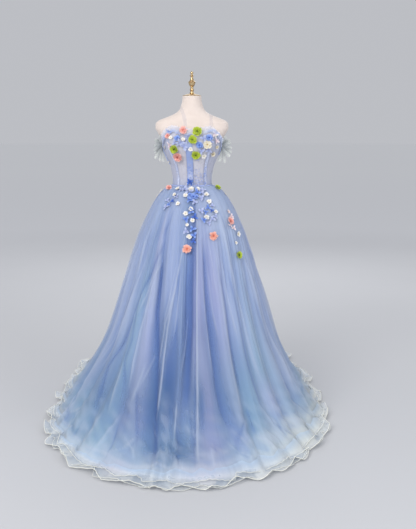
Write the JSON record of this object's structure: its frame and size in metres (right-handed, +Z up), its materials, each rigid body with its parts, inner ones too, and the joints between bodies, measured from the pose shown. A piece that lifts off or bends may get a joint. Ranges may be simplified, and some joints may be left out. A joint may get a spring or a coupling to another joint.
{
  "type": "a-line prom dress on a limbless dress form",
  "caption": "Off-shoulder a-line prom dress with a sheer corset bodice, layered tulle skirt, ruffled hem, train and sewn flowers, worn by a limbless dress form on a stand.",
  "frame": {"origin": "centre of the flat underside of the stand base", "axes": "+Z up; -Y is the front of the dress, +Y runs down the train, +X is the viewer's right when facing the front"},
  "size_m": [1.5438, 2.3766, 1.819],
  "materials": {
    "veil_tulle": "sheer matt tulle",
    "under_tulle": "layered matt tulle",
    "frill_tulle": "stiff sheer tulle with a wired edge",
    "corset_tulle": "sheer tulle with fine glitter",
    "band_satin": "soft satin",
    "sheer_tulle": "pleated sheer tulle",
    "petal_lime": "matt chiffon",
    "petal_pink": "matt chiffon",
    "petal_white": "matt chiffon",
    "petal_blue": "matt chiffon",
    "petal_lavender": "matt chiffon",
    "form_cloth": "fine knitted cover",
    "finial_metal": "satin",
    "stand_metal": "satin",
    "zip_tape": "woven tape and nylon coil",
    "zip_metal": "polished"
  },
  "bodies": {
    "dress": {"band_centre": "band_satin", "band_front_left": "band_satin", "band_front_right": "band_satin", "bodice_back_left": "corset_tulle", "bodice_back_right": "corset_tulle", "bodice_front_left": "corset_tulle", "bodice_front_right": "corset_tulle", "bodice_side_left": "corset_tulle", "bodice_side_right": "corset_tulle", "cup_binding_left": "band_satin", "cup_binding_right": "band_satin", "flower_blue_centre": "petal_blue", "flower_blue_left": "petal_blue", "flower_blue_right": "petal_blue", "flower_cream_right": "petal_white", "flower_lime_centre": "petal_lime", "flower_lime_left": "petal_lime", "flower_lime_low": "petal_lime", "flower_lime_neck": "petal_lime", "flower_pink_left": "petal_pink", "flower_pink_neck": "petal_pink", "flower_trail_lime": "petal_lime", "flower_trail_pink_centre": "petal_pink", "flower_trail_pink_right": "petal_pink", "flower_trail_pink_side": "petal_pink", "flower_waist_blue": "petal_blue", "flower_waist_lavender": "petal_lavender", "flower_waist_lime": "petal_lime", "flower_waist_pink": "petal_pink", "flower_waist_white": "petal_white", "flower_white_low": "petal_white", "form_finial": "finial_metal", "form_neck_cap": "finial_metal", "form_torso": "form_cloth", "hem_frill_front": "frill_tulle", "hem_frill_left": "frill_tulle", "hem_frill_right": "frill_tulle", "neckline_frill": "sheer_tulle", "shoulder_fan_left": "sheer_tulle", "shoulder_fan_right": "sheer_tulle", "skirt_under_front": "under_tulle", "skirt_under_left": "under_tulle", "skirt_under_right": "under_tulle", "skirt_veil_back_left": "veil_tulle", "skirt_veil_back_right": "veil_tulle", "skirt_veil_front_left": "veil_tulle", "skirt_veil_front_right": "veil_tulle", "skirt_veil_side_left": "veil_tulle", "skirt_veil_side_right": "veil_tulle", "stand_base": "stand_metal", "stand_pole": "stand_metal", "strap_left": "sheer_tulle", "strap_right": "sheer_tulle", "zip_slider": "zip_metal", "zip_tape": "zip_tape"},
    "pull_tab": {"zip_pull": "zip_metal"}
  },
  "joints": [
    {"name": "pull_tab_hinge", "type": "hinge", "parent": "dress", "child": "pull_tab", "pos_m": [0, 0.09786, 1.4085], "axis": [1, 0, 0], "range_deg": [0, 165]}
  ]
}
